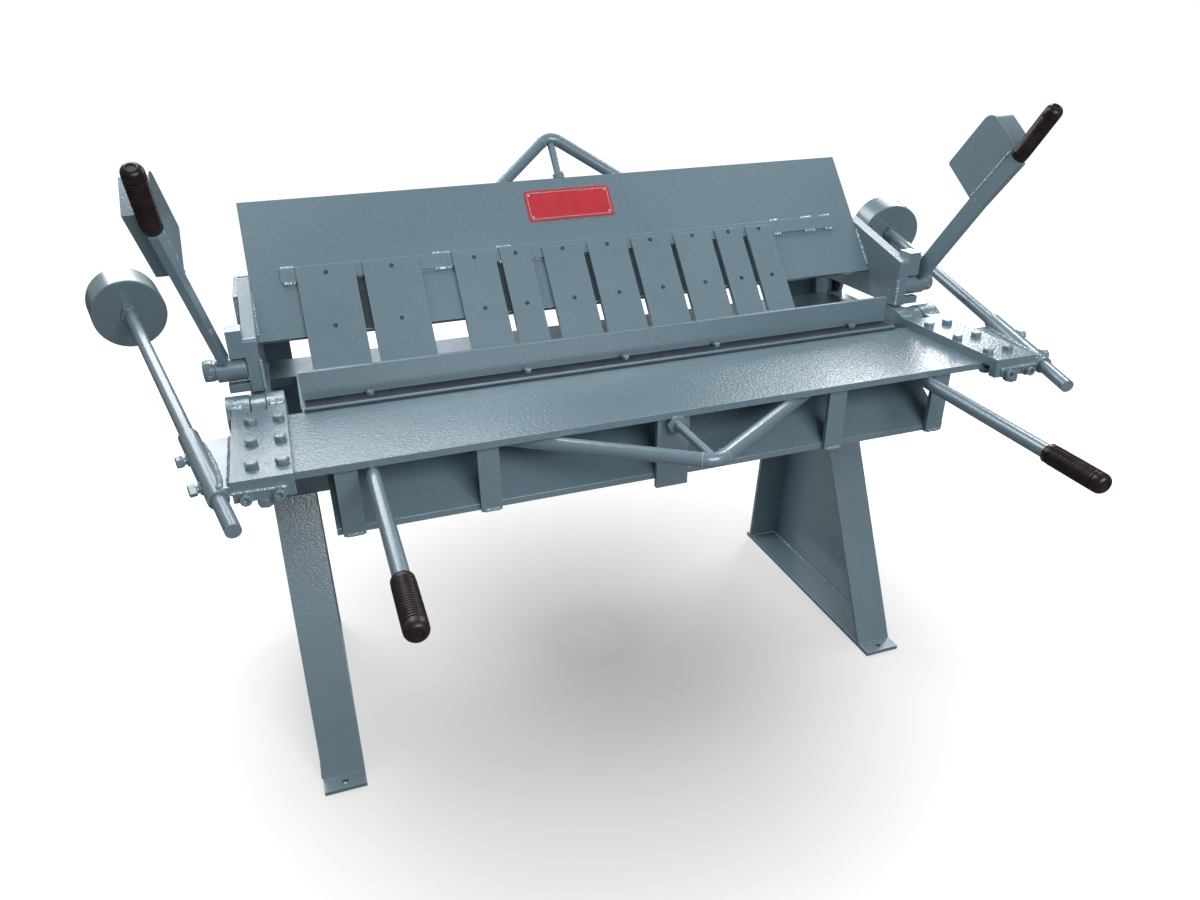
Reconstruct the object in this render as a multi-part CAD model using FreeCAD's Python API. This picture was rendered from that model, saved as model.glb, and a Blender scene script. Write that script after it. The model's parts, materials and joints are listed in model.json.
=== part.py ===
import FreeCAD, Part
import math
import os

os.makedirs("parts", exist_ok=True)
V = FreeCAD.Vector

# Frame: X along the bend, Y from the front to the back, Z up from the floor.
# The origin lies on the floor in the middle of the four foot bolts.

# Bend line, which is also the hinge line of the bending leaf
bed_height = 856.0
bend_y = -200.0

# Running clearances
pin_gap = 0.05
joint_gap = 2.0
side_gap = 6.0

# Stands
foot_bolt_spacing_x = 1388.0
foot_bolt_spacing_y = 616.0
foot_bolt_radius = 7.0
foot_edge = 20.0
foot_width = 92.0
foot_plate = 10.0
foot_length = foot_bolt_spacing_y + 2 * foot_edge
stand_inner_x = (foot_bolt_spacing_x - foot_width) / 2
stand_outer_x = (foot_bolt_spacing_x + foot_width) / 2
stand_height = bed_height - 156.0
stand_plate = 10.0
stand_front_y = 39.0 - foot_length / 2
stand_back_y = foot_length / 2 - 16.0
front_lean = math.radians(26.1)
back_lean = math.radians(5.2)

# Bed
bed_plate = 20.0
side_plate = 32.0
side_outer_x = stand_outer_x - stand_plate
bed_half = side_outer_x - side_plate
bed_back_y = 105.0
bed_corner_x = 645.0
bed_corner_y = -10.0
apron_plate = 10.0
apron_corner_drop = 46.0
apron_top_y = -165.0
apron_foot = (-27.0, bed_height - 266.0)
lug_inner_x = bed_half + side_gap
lug_radius = 40.0
neck_rise = 28.0
neck_length = 130.0
side_back_y = 100.0

# Uprights that rise from the stands behind the bed and guide the clamping leaf
upright_top_z = bed_height + 162.0
upright_front = ((108.0, bed_height + 14.0), (87.0, bed_height + 69.0), (34.0, bed_height + 106.0),
                 (54.0, upright_top_z))

# Bending leaf, drawn with its plate level
prong_width = 32.0
leaf_half = side_outer_x + joint_gap + prong_width
leaf_front_y = -494.0
leaf_plate = 13.0
end_inner_x = lug_inner_x - joint_gap - prong_width
angle_end_gap = 30.0
angle_half = end_inner_x - angle_end_gap
angle_height = 62.0
angle_depth = 50.0
angle_plate = 8.0
leaf_relief_x = angle_half + 3.0
leaf_relief_y = bend_y - 48.0
web_plate = 10.0
web_top_y = -290.0
web_bottom = (-469.0, bed_height - 130.5)
web_half = 620.0
web_foot = 12.0
rib_width = 38.0
rib_plate = 10.0
rib_outer_x = web_half - 29.0
rib_inner_x = 350.0
strut_width = 64.0
strut_drop = 16.0

# Ends of the bending leaf
end_plate = 18.0
end_front_y = leaf_front_y - 39.0
notch_front_y = bend_y - 52.0
knuckle_radius = 42.0
knuckle_overhang = 10.0
hinge_pin_radius = 12.5
end_lip_depth = 18.0
end_lip_drop = 19.0

# Counterweights of the bending leaf
arm_front = V(leaf_half + 20.0, end_front_y - 3.5, bed_height + 6.0)
arm_direction = V(0.2328, 1.0, 0.1256).normalize()
arm_tube_radius = 17.0
arm_tube_length = 212.0
arm_rod_radius = 12.5
arm_rod_front = 88.0
arm_rod_back = 880.0
weight_radius = 75.0
weight_length = 88.0
weight_start = 790.0
weight_nut = 34.0
gusset_plate = 10.0

# Handles of the bending leaf
handle_x = web_half - 72.0
handle_radius = 13.0
handle_reach = 432.0
handle_lap = 134.0
handle_front_drop = 30.0
handle_back_drop = 8.0
handle_front = V(handle_x, leaf_front_y - handle_reach, bed_height - handle_front_drop)
handle_back = V(handle_x, leaf_front_y + handle_lap, bed_height - handle_back_drop)
handle_grip_radius = 18.0
handle_grip_length = 122.0

# Truss rods
truss_radius = 13.0
truss_sides = 16
truss_bend_radius = 34.0
leaf_truss_apex_y = -655.0
leaf_truss_z = bed_height - truss_radius
leaf_truss_end_x = 430.0
leaf_truss_slope = 0.70
screw_radius = 8.0
nut_across = 24.0

# Clamping leaf
top_half = bed_half + 4.0
top_plate = 12.0
top_edge = (-47.3, bed_height + 92.5)
top_lean = math.radians(49.0)
top_depth = 309.0
rail_low = 118.0
rail_high = 150.0
rail_plate = 6.0
rail_half = 641.0
finger_plate = 12.0
finger_rest_gap = 1.2
finger_knee_y = -108.0
finger_bend_radius = 36.0
nose_setback = 12.0
nose_height = 3.0

# Each finger: left side, width, and how far up the clamping plate it reaches
fingers = (
    (-610.0, 116.0, 147.0),
    (-477.0, 116.0, 147.0),
    (-289.0, 91.0, 147.0),
    (-185.0, 66.0, 147.0),
    (-91.0, 91.0, 138.0),
    (13.0, 91.0, 138.0),
    (117.0, 91.0, 138.0),
    (221.0, 91.0, 138.0),
    (325.0, 66.0, 138.0),
    (404.0, 66.0, 138.0),
)
top_truss_apex_s = 436.0
top_truss_slope = 0.85
top_truss_end_x = 361.0
top_truss_offset = -(top_plate + truss_radius)
top_strut_width = 40.0
top_strut_depth = 34.0

# Ends of the clamping leaf and the arms that carry them
top_end_plate = 24.0
top_end_front_y = -161.0
top_end_low_z = bed_height + 34.0
top_end_high_z = bed_height + 135.0
top_end_slope = 0.28
top_end_crest_y = 60.0
top_end_back = (150.0, bed_height + 144.0)
corner_radius = 8.0
arm_plate = 12.0
arm_inner_x = lug_inner_x
arm_high = (bed_back_y + 12.0, 178.0)
arm_lap = 38.0
arm_taper_z = bed_height - 36.0
arm_back_taper = 14.0
pivot_y = 130.0
pivot_z = bed_height - 296.0
pivot_boss = 34.0
pivot_pin_radius = 12.0
cheek_plate = 10.0
cheek_inner_x = arm_inner_x - joint_gap - 8.0 - cheek_plate
cheek_low_z = pivot_z - 60.0
cheek_high_z = pivot_z + 80.0

# Clamp handles
clamp_y = -135.0
clamp_z = bed_height + 76.0
hub_radius = 24.0
hub_length = 54.0
hub_inner_x = top_half + top_end_plate + joint_gap
hub_bore = 12.0
collar_radius = 19.0
collar_length = 22.0
bar_width = 38.0
bar_plate = 14.0
bar_foot_x = hub_inner_x + 34.0
bar_foot_rise = 21.0
bar_knee_splay = 33.0
bar_top_splay = 47.0
bar_knee_reach = 131.0
bar_knee_rise = 206.0
bar_top_reach = 200.0
bar_top_rise = 301.0
bar_knee = V(bar_foot_x + bar_knee_splay, clamp_y - bar_knee_reach, clamp_z + bar_knee_rise)
bar_top = V(bar_foot_x + bar_top_splay, clamp_y - bar_top_reach, clamp_z + bar_top_rise)
clamp_grip_length = 122.0
clamp_grip_radius = 17.0
block_plate = 44.0
block_inset = 1.5
block_low = -12.0
block_high = 130.0
block_depth = 104.0
block_low_corner = 6.0
block_high_corner = 24.0

# Blocks on the outside of the clamping leaf's ends, above and below the hub of the clamp handle
stop_width = 28.0
stop_low_z = clamp_z + hub_radius + joint_gap
stop_high_z = bed_height + 154.0
stop_depth = 40.0
rest_width = 40.0
rest_low_z = top_end_low_z


def box(x0, x1, y0, y1, z0, z1):
    return Part.makeBox(x1 - x0, y1 - y0, z1 - z0, V(x0, y0, z0))


def outline_face(points, place):
    # A flat face with straight edges; a corner with a third value is rounded to that radius.
    corners = [V(point[0], point[1], 0) for point in points]
    edges = []
    starts = []
    ends = []
    for k, point in enumerate(points):
        radius = point[2] if len(point) > 2 else 0
        into = (corners[k] - corners[k - 1]).normalize()
        away = (corners[(k + 1) % len(points)] - corners[k]).normalize()
        turn = into.getAngle(away)
        reach = radius * math.tan(turn / 2)
        starts.append(corners[k] - into * reach)
        ends.append(corners[k] + away * reach)
        if radius:
            inward = (away - into).normalize()
            middle = corners[k] + inward * (radius / math.cos(turn / 2) - radius)
            edges.append(Part.Arc(place(starts[k]), place(middle), place(ends[k])).toShape())
    for k in range(len(points)):
        edges.append(Part.makeLine(place(ends[k - 1]), place(starts[k])))
    return Part.Face(Part.Wire(Part.__sortEdges__(edges)))


def side_prism(points, x0, x1):
    # A plate whose outline is drawn in Y and Z, from x0 to x1.
    face = outline_face(points, lambda p: V(x0, p.x, p.y))
    return face.extrude(V(x1 - x0, 0, 0))


def plan_prism(points, z0, z1):
    face = outline_face(points, lambda p: V(p.x, p.y, z0))
    return face.extrude(V(0, 0, z1 - z0))


def disc(x0, x1, y, z, radius):
    return Part.makeCylinder(radius, x1 - x0, V(x0, y, z), V(1, 0, 0))


def rod(start, end, radius):
    axis = end.sub(start)
    return Part.makeCylinder(radius, axis.Length, start, axis)


def flat_bar(start, end, width, x_size):
    # A bar between two points: x_size across, width at right angles to X.
    along = end.sub(start)
    side = along.cross(V(1, 0, 0)).normalize().multiply(width / 2)
    half = V(x_size / 2, 0, 0)
    corners = [start - half - side, start + half - side, start + half + side, start - half + side]
    face = Part.Face(Part.makePolygon(corners + corners[:1]))
    return face.extrude(along)


def mirrored(shape):
    return shape.mirror(V(0, 0, 0), V(1, 0, 0))


def save(name, shape):
    shape.exportStep("parts/" + name + ".step")


def save_pair(name, shape):
    save(name + "_right", shape)
    save(name + "_left", mirrored(shape))


def save_both(name, shape):
    save(name, Part.makeCompound([shape, mirrored(shape)]))


def hexagon(centre, along, thickness, across):
    # A nut whose axis runs along a direction from its centre.
    side = along.cross(V(1, 0, 0)).normalize()
    other = along.cross(side).normalize()
    corners = []
    for k in range(6):
        turn = math.radians(60 * k + 30)
        corners.append(centre + (side * math.cos(turn) + other * math.sin(turn)) * (across / math.sqrt(3)))
    return Part.Face(Part.makePolygon(corners + corners[:1])).extrude(along.normalize() * thickness)


def bend_seat(slope):
    # How far from its corner a flat-ended screw meets the inside of a truss rod's bend.
    depth = truss_bend_radius * (math.hypot(1.0, slope) - 1.0)
    rim = truss_radius / math.cos(math.pi / truss_sides)
    inside = truss_bend_radius - rim
    return depth + rim + inside - math.sqrt(inside ** 2 - screw_radius ** 2)


def bent_rod(start, corner, end, radius, bend_radius):
    # A rod with one bend, drawn with flats around that reach its round outline.
    into = (corner - start).normalize()
    away = (end - corner).normalize()
    turn = into.getAngle(away)
    reach = bend_radius * math.tan(turn / 2)
    first = corner - into * reach
    last = corner + away * reach
    middle = corner + (away - into).normalize() * (bend_radius / math.cos(turn / 2) - bend_radius)
    path = Part.Wire([Part.makeLine(start, first), Part.Arc(first, middle, last).toShape(),
                      Part.makeLine(last, end)])
    side = into.cross(end - corner).normalize()
    other = into.cross(side)
    reach_out = radius / math.cos(math.pi / truss_sides)
    rim = []
    for k in range(truss_sides):
        turn = 2 * math.pi * (k + 0.5) / truss_sides
        rim.append(start + (side * math.cos(turn) + other * math.sin(turn)) * reach_out)
    return path.makePipeShell([Part.makePolygon(rim + rim[:1])], True, False)


# Stands
def front_y(z):
    # Front face of a stand at a height.
    return stand_front_y + (z - foot_plate) * math.tan(front_lean)


def back_y(z):
    return stand_back_y - (z - foot_plate) * math.tan(back_lean)


front_run = stand_plate / math.cos(front_lean)
back_run = stand_plate / math.cos(back_lean)


def stand():
    x0 = stand_inner_x
    x1 = stand_outer_x
    low = foot_plate
    under_bed = bed_height - bed_plate
    front_flange = side_prism([
        (front_y(low), low), (front_y(stand_height), stand_height),
        (front_y(stand_height) + front_run, stand_height), (front_y(low) + front_run, low)], x0, x1)
    back_flange = side_prism([
        (back_y(low), low), (back_y(upright_top_z), upright_top_z),
        (back_y(upright_top_z) - back_run, upright_top_z), (back_y(low) - back_run, low)], x0, x1)
    web = side_prism(
        [(front_y(low), low), (front_y(stand_height), stand_height), (apron_top_y + side_back_y, under_bed),
         (upright_front[0][0], under_bed)] + [point + (corner_radius,) for point in upright_front[1:]]
        + [(back_y(upright_top_z), upright_top_z), (back_y(low), low)], x1 - stand_plate, x1)
    half = foot_length / 2
    foot = box(x0, x1, -half, half, 0, foot_plate)
    for side in (-1, 1):
        foot = foot.cut(Part.makeCylinder(
            foot_bolt_radius, foot_plate, V(foot_bolt_spacing_x / 2, side * foot_bolt_spacing_y / 2, 0)))
    shape = foot.fuse([front_flange, back_flange, web])
    return shape.cut(disc(x0, x1, pivot_y, pivot_z, pivot_pin_radius + pin_gap)).removeSplitter()


def pivot_cheek():
    # An inner plate that spans the stand's flanges and holds the inner end of the pivot pin.
    plate = side_prism([
        (front_y(cheek_low_z) + front_run, cheek_low_z), (front_y(cheek_high_z) + front_run, cheek_high_z),
        (back_y(cheek_high_z) - back_run, cheek_high_z), (back_y(cheek_low_z) - back_run, cheek_low_z)],
        cheek_inner_x, cheek_inner_x + cheek_plate)
    return plate.cut(disc(cheek_inner_x, stand_outer_x, pivot_y, pivot_z, pivot_pin_radius + pin_gap))


# Bed
def bed_side():
    # The side plate stands on the stand's front and carries the hinge lug of the bending leaf.
    foot_y, foot_z = apron_foot
    low = bed_height - bed_plate
    behind = bend_y + knuckle_radius + side_gap
    notch_z = low - apron_corner_drop
    notch_y = apron_top_y + (low - notch_z) * (foot_y - apron_top_y) / (low - foot_z)
    plate = side_prism([
        (behind, bed_height), (side_back_y, bed_height), (side_back_y, low),
        (front_y(stand_height), stand_height), (front_y(foot_z), foot_z), (foot_y, foot_z),
        (notch_y, notch_z)], bed_half, side_outer_x)
    neck_z = bed_height + neck_rise
    neck = side_prism([
        (bend_y, bed_height - lug_radius), (bend_y, bed_height + lug_radius),
        (bend_y + neck_rise, neck_z), (bend_y + neck_length, neck_z),
        (bend_y + neck_length + neck_rise, bed_height), (notch_y, notch_z)], lug_inner_x, side_outer_x)
    lug = disc(lug_inner_x, side_outer_x, bend_y, bed_height, lug_radius)
    bore = disc(bed_half, stand_outer_x, bend_y, bed_height, hinge_pin_radius + pin_gap)
    return plate.fuse([neck, lug]).cut(bore).removeSplitter()


def corner_cut(side, low, high, back):
    x0, x1 = sorted((side * bed_corner_x, side * bed_half))
    return box(x0, x1, bend_y, back, low, high)


def bed_top():
    low = bed_height - bed_plate
    plate = box(-bed_half, bed_half, bend_y, bed_back_y, low, bed_height)
    return plate.cut([corner_cut(side, low, bed_height, bed_corner_y) for side in (-1, 1)])


def bed_apron():
    low = bed_height - bed_plate
    foot_y, foot_z = apron_foot
    run = apron_plate / math.sin(math.atan2(low - foot_z, foot_y - apron_top_y))
    sheet = side_prism([(apron_top_y, low), (foot_y, foot_z), (foot_y + run, foot_z),
                        (apron_top_y + run, low)], -bed_half, bed_half)
    return sheet.cut([corner_cut(side, low - apron_corner_drop, low, bed_corner_y) for side in (-1, 1)])


# Bending leaf
def leaf_top():
    outline = [
        (-leaf_relief_x, bend_y), (leaf_relief_x, bend_y), (leaf_relief_x, leaf_relief_y),
        (leaf_half, leaf_relief_y), (leaf_half, leaf_front_y), (-leaf_half, leaf_front_y),
        (-leaf_half, leaf_relief_y), (-leaf_relief_x, leaf_relief_y)]
    return plan_prism(outline, bed_height, bed_height + leaf_plate)


def leaf_web():
    bottom_y, bottom_z = web_bottom
    slope = math.atan2(bed_height - bottom_z - web_foot, web_top_y - bottom_y)
    run = web_plate / math.sin(slope)
    sheet = side_prism([(web_top_y, bed_height), (bottom_y, bottom_z + web_foot), (bottom_y, bottom_z),
                        (bottom_y + run, bottom_z), (web_top_y + run, bed_height)], -web_half, web_half)
    ribs = []
    for x in (-rib_outer_x, -rib_inner_x, rib_inner_x, rib_outer_x):
        ribs.append(box(x - rib_width / 2, x + rib_width / 2, bottom_y - rib_plate, bottom_y,
                        bottom_z, bed_height))
    half = strut_width / 2
    strut = box(-half, half, bottom_y - rib_plate, bottom_y, bottom_z - strut_drop, bed_height)
    bore = rod(V(0, bottom_y - rib_plate, leaf_truss_z), V(0, bottom_y, leaf_truss_z), screw_radius)
    return sheet.fuse(ribs + [strut.cut(bore)]).removeSplitter()


def leaf_angle():
    z0 = bed_height + leaf_plate
    profile = [(bend_y, z0), (bend_y - angle_depth, z0), (bend_y - angle_depth, z0 + angle_plate),
               (bend_y - angle_plate, z0 + angle_plate), (bend_y - angle_plate, z0 + angle_height),
               (bend_y, z0 + angle_height)]
    return side_prism(profile, -angle_half, angle_half)


def leaf_end():
    z0 = bed_height + leaf_plate
    z1 = z0 + end_plate
    notch_x0 = lug_inner_x - joint_gap
    notch_x1 = side_outer_x + joint_gap
    plate = box(end_inner_x, leaf_half, end_front_y, bend_y, z0, z1)
    lip = box(end_inner_x, leaf_half, end_front_y, end_front_y + end_lip_depth, z0 - end_lip_drop, z0)
    knuckle_end = leaf_half + knuckle_overhang
    knuckles = []
    for x0, x1 in ((end_inner_x, notch_x0), (notch_x1, knuckle_end)):
        knuckles.append(disc(x0, x1, bend_y, bed_height, knuckle_radius))
    shape = plate.fuse([lip] + knuckles)
    shape = shape.cut(box(notch_x0, notch_x1, notch_front_y, bend_y + 60, z0 - 60, z1 + 60))
    shape = shape.cut(disc(end_inner_x, knuckle_end, bend_y, bed_height, hinge_pin_radius + pin_gap))
    return shape.removeSplitter()


def weight_arm():
    # A tube along the rod, held to the leaf's end by a three-cornered plate.
    back = arm_front + arm_direction * arm_tube_length
    tube = rod(arm_front, back, arm_tube_radius)
    z0 = bed_height + leaf_plate
    gusset = plan_prism([(leaf_half, arm_front.y + 4), (arm_front.x, arm_front.y + 4),
                         (back.x, back.y - 4), (leaf_half, back.y - 4)], z0, z0 + gusset_plate)
    bore = rod(arm_front - arm_direction * 10, back + arm_direction * 10, arm_rod_radius + pin_gap)
    return tube.fuse(gusset).cut(bore).removeSplitter()


def weight_rod():
    bar = rod(arm_front - arm_direction * arm_rod_front, arm_front + arm_direction * arm_rod_back,
              arm_rod_radius)
    nut_depth = arm_rod_radius
    seat = arm_front + arm_direction * (weight_start - nut_depth)
    return bar.fuse(hexagon(seat, arm_direction, nut_depth, weight_nut)).removeSplitter()


def weight():
    start = arm_front + arm_direction * weight_start
    body = rod(start, start + arm_direction * weight_length, weight_radius)
    bore = rod(start - arm_direction * 10, start + arm_direction * (weight_length + 10),
               arm_rod_radius + pin_gap)
    return body.cut(bore)


def leaf_handle():
    along = (handle_back - handle_front).normalize()
    tube = rod(handle_front + along * handle_grip_length, handle_back, handle_radius)
    above = box(handle_x - 50, handle_x + 50, handle_front.y, bend_y, bed_height, bed_height + 60)
    return tube.cut(above)


def leaf_grip():
    along = (handle_back - handle_front).normalize()
    return rod(handle_front, handle_front + along * handle_grip_length, handle_grip_radius)


def leaf_truss():
    end_y = leaf_truss_apex_y + leaf_truss_slope * leaf_truss_end_x
    left = V(-leaf_truss_end_x, end_y, leaf_truss_z)
    right = V(leaf_truss_end_x, end_y, leaf_truss_z)
    return bent_rod(left, V(0, leaf_truss_apex_y, leaf_truss_z), right, truss_radius, truss_bend_radius)


def leaf_truss_screw():
    strut_y = web_bottom[0] - rib_plate
    forward = V(0, -1, 0)
    tip_y = leaf_truss_apex_y + bend_seat(leaf_truss_slope)
    stem = rod(V(0, strut_y + 34, leaf_truss_z), V(0, tip_y, leaf_truss_z), screw_radius)
    front_nut = hexagon(V(0, strut_y, leaf_truss_z), forward, 12, nut_across)
    back_nut = hexagon(V(0, strut_y + rib_plate + 12, leaf_truss_z), forward, 12, nut_across)
    return stem.fuse([front_nut, back_nut]).removeSplitter()


# Clamping leaf: s runs up the plate, n stands off its front face.
up = (math.cos(top_lean), math.sin(top_lean))
out = (-math.sin(top_lean), math.cos(top_lean))


def on_plate(s, n):
    return (top_edge[0] + s * up[0] + n * out[0], top_edge[1] + s * up[1] + n * out[1])


def on_plate_at(x, s, n):
    y, z = on_plate(s, n)
    return V(x, y, z)


def top_leaf_plate():
    # The plate with the flat rail welded across it, which the fingers hook over.
    plate = side_prism([on_plate(0, 0), on_plate(top_depth, 0), on_plate(top_depth, -top_plate),
                        on_plate(0, -top_plate)], -top_half, top_half)
    rail = side_prism([on_plate(rail_low, 0), on_plate(rail_high, 0), on_plate(rail_high, rail_plate),
                       on_plate(rail_low, rail_plate)], -rail_half, rail_half)
    return plate.fuse(rail)


def finger(x0, width, high):
    # A plate that lies on the clamping plate, bends at the knee and ends in a nose along the bend line.
    knee_s = (finger_knee_y - top_edge[0] - finger_plate * out[0]) / up[0]
    knee = on_plate(knee_s, finger_plate)
    tip_y = bend_y + nose_setback
    low = bed_height + finger_rest_gap
    tip = (tip_y, low + nose_height)
    slope = math.atan2(knee[1] - tip[1], knee[0] - tip[0])
    under = (finger_plate / math.cos(slope) - nose_height) / math.tan(slope)
    bend = top_lean - slope
    under_knee_s = knee_s + finger_plate * math.tan(bend / 2)
    profile = [
        on_plate(high, finger_plate), knee + (finger_bend_radius + finger_plate,), tip, (tip_y, low),
        (tip_y + under, low), on_plate(under_knee_s, 0) + (finger_bend_radius,), on_plate(rail_low - 1, 0),
        on_plate(rail_low - 1, rail_plate), on_plate(high, rail_plate)]
    return side_prism(profile, x0, x0 + width)


def top_end():
    x0 = top_half
    x1 = top_half + top_end_plate
    crest_z = top_end_high_z + (top_end_crest_y - top_end_front_y) * top_end_slope
    arm_front_y, arm_back_y = arm_high
    plate = side_prism([
        (top_end_front_y, top_end_low_z), (top_end_front_y, top_end_high_z, corner_radius),
        (top_end_crest_y, crest_z, corner_radius), top_end_back, (arm_back_y, top_end_low_z)], x0, x1)
    arm_lap_z = top_end_low_z + arm_lap
    arm = side_prism([
        (arm_front_y, arm_lap_z), (arm_front_y, arm_taper_z), (pivot_y - pivot_boss, pivot_z),
        (pivot_y + pivot_boss, pivot_z), (arm_back_y - arm_back_taper, arm_taper_z), (arm_back_y, arm_lap_z)],
        arm_inner_x, arm_inner_x + arm_plate)
    boss = disc(cheek_inner_x + cheek_plate + joint_gap, side_outer_x - joint_gap, pivot_y, pivot_z,
                pivot_boss)
    stop = box(x1, x1 + stop_width, top_end_front_y, top_end_front_y + stop_depth, stop_low_z, stop_high_z)
    rest = box(x1, x1 + rest_width, clamp_y - stop_depth / 2, clamp_y + stop_depth / 2, rest_low_z,
               clamp_z - hub_radius - joint_gap)
    shape = plate.fuse([arm, boss, stop, rest])
    shape = shape.cut(disc(cheek_inner_x, side_outer_x, pivot_y, pivot_z, pivot_pin_radius + pin_gap))
    shape = shape.cut(disc(x0, x1, clamp_y, clamp_z, hub_bore + pin_gap))
    return shape.removeSplitter()


def top_truss():
    end_s = top_truss_apex_s - top_truss_slope * top_truss_end_x
    left = on_plate_at(-top_truss_end_x, end_s, top_truss_offset)
    right = on_plate_at(top_truss_end_x, end_s, top_truss_offset)
    apex = on_plate_at(0, top_truss_apex_s, top_truss_offset)
    return bent_rod(left, apex, right, truss_radius, truss_bend_radius)


def top_strut():
    half = top_strut_width / 2
    seat_s = top_depth - top_strut_depth
    back = 2 * top_truss_offset + top_plate
    block = side_prism([on_plate(seat_s, -top_plate), on_plate(top_depth, -top_plate),
                        on_plate(top_depth, back), on_plate(seat_s, back)], -half, half)
    along = V(0, up[0], up[1])
    base = on_plate_at(0, top_depth, top_truss_offset)
    tip_s = top_truss_apex_s - bend_seat(top_truss_slope)
    stem = rod(base, on_plate_at(0, tip_s, top_truss_offset), screw_radius)
    nut = hexagon(base + along * 10, along, 14, nut_across)
    return block.fuse([stem, nut]).removeSplitter()


# Clamp handles
def clamp_handle():
    x0 = hub_inner_x
    x1 = x0 + hub_length
    hub = disc(x0, x1, clamp_y, clamp_z, hub_radius)
    shaft = disc(top_half, x1 + collar_length, clamp_y, clamp_z, hub_bore)
    collar = disc(x1, x1 + collar_length, clamp_y, clamp_z, collar_radius)
    foot = V(bar_foot_x, clamp_y, clamp_z)
    lower = flat_bar(foot, bar_knee, bar_width, bar_plate)
    foot_cut = box(x0, x1, clamp_y - bar_width, clamp_y + bar_width, clamp_z - bar_width,
                   clamp_z + bar_foot_rise)
    upper = flat_bar(bar_knee, bar_top, bar_width, bar_plate)

    # The weight is a thick plate behind the bar, almost flush with the bar's inner side.
    along = (bar_top - bar_knee).normalize()
    behind = along.cross(V(1, 0, 0)).normalize()
    corner = bar_knee + behind * (bar_width / 2) - V(bar_plate / 2 - block_inset, 0, 0)
    outline = ((block_low, 0), (block_high, 0), (block_high, block_depth, block_high_corner),
               (block_low, block_depth, block_low_corner))
    block = outline_face(outline, lambda p: corner + along * p.x + behind * p.y).extrude(V(block_plate, 0, 0))
    return hub.fuse([shaft, collar, lower.cut(foot_cut), upper, block]).removeSplitter()


def clamp_grip():
    # The grip stands upright over the bar, which leans outward.
    along = V(0, bar_top.y - bar_knee.y, bar_top.z - bar_knee.z).normalize()
    return rod(bar_top, bar_top + along * clamp_grip_length, clamp_grip_radius)


save_pair("stand", stand())
save_both("pivot_cheeks", pivot_cheek())
save("bed_top", bed_top())
save("bed_apron", bed_apron())
save_pair("bed_side", bed_side())
save_both("pivot_pins", disc(cheek_inner_x - 2.0, stand_outer_x + 2.0, pivot_y, pivot_z, pivot_pin_radius))
save("leaf_top", leaf_top())
save("leaf_web", leaf_web())
save("leaf_angle", leaf_angle())
save("leaf_truss_rod", leaf_truss())
save("leaf_truss_screw", leaf_truss_screw())
save_pair("leaf_end", leaf_end())
save_both("hinge_pins", disc(end_inner_x, leaf_half + knuckle_overhang + joint_gap, bend_y, bed_height,
                             hinge_pin_radius))
save_pair("weight_arm", weight_arm())
save_pair("weight_rod", weight_rod())
save_pair("weight", weight())
save_pair("leaf_handle", leaf_handle())
save_pair("leaf_grip", leaf_grip())
save("top_plate", top_leaf_plate())
for number, (x0, width, high) in enumerate(fingers, start=1):
    save("finger_" + str(number), finger(x0, width, high))
save_pair("top_end", top_end())
save("top_truss_rod", top_truss())
save("top_strut", top_strut())
save_pair("clamp_handle", clamp_handle())
save_pair("clamp_grip", clamp_grip())
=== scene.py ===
# %% [markdown]
# # Dressing a hand-operated sheet metal brake
# The brake arrives as a fixed frame of imported pieces, each at its real size and in its real place.
# This lesson adds what the eye expects on the real machine: hammered paint, ground steel, ribbed grips,
# bolts, weld beads and soft edges. It starts by loading the frame.

# %% Load the frame
import json
import math
import random
import bpy
import bmesh
from mathutils import Matrix, Vector


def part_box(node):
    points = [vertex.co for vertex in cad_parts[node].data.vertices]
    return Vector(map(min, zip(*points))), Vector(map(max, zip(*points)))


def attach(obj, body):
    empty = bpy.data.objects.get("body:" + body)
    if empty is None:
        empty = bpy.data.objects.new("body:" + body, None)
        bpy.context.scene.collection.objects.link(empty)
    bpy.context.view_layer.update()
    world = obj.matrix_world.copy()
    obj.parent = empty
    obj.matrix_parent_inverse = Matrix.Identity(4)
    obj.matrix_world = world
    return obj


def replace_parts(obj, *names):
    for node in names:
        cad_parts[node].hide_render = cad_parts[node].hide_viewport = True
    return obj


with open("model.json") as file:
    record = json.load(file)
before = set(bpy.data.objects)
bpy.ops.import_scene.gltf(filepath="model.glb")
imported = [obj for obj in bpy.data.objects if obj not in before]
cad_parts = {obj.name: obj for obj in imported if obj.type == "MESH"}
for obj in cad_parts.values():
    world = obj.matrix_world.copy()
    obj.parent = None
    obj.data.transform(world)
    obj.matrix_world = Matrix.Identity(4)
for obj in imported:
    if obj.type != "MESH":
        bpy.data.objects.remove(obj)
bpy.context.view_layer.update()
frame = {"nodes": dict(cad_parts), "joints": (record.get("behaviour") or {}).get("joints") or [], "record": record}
nodes = frame["nodes"]

# %% [markdown]
# ## The lines everything hangs on
# The bending leaf swings about the bend line, so that line is read from its joint. The clamping plate
# leans back over the bed. A point on it is easiest to give by how far it lies up the plate and how far
# it stands off the plate's front, so a small helper turns those two into a place in the frame.
# The plate leans by 49 degrees, and its own box says where its lower front edge lies.

# %% Bend line and clamping plate
joints = {joint["name"]: joint for joint in frame["joints"]}
bend_line = Vector(joints["leaf_swing"]["pos_m"])
leaf_low, leaf_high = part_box("leaf_top")
plate_low, plate_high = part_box("top_plate")
plate_lean = math.radians(49.0)
plate_thick = 0.012
plate_up = Vector((0, math.cos(plate_lean), math.sin(plate_lean)))
plate_out = Vector((0, -math.sin(plate_lean), math.cos(plate_lean)))
plate_foot = Vector((0, plate_low.y, plate_low.z + plate_thick * plate_out.z))


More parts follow.
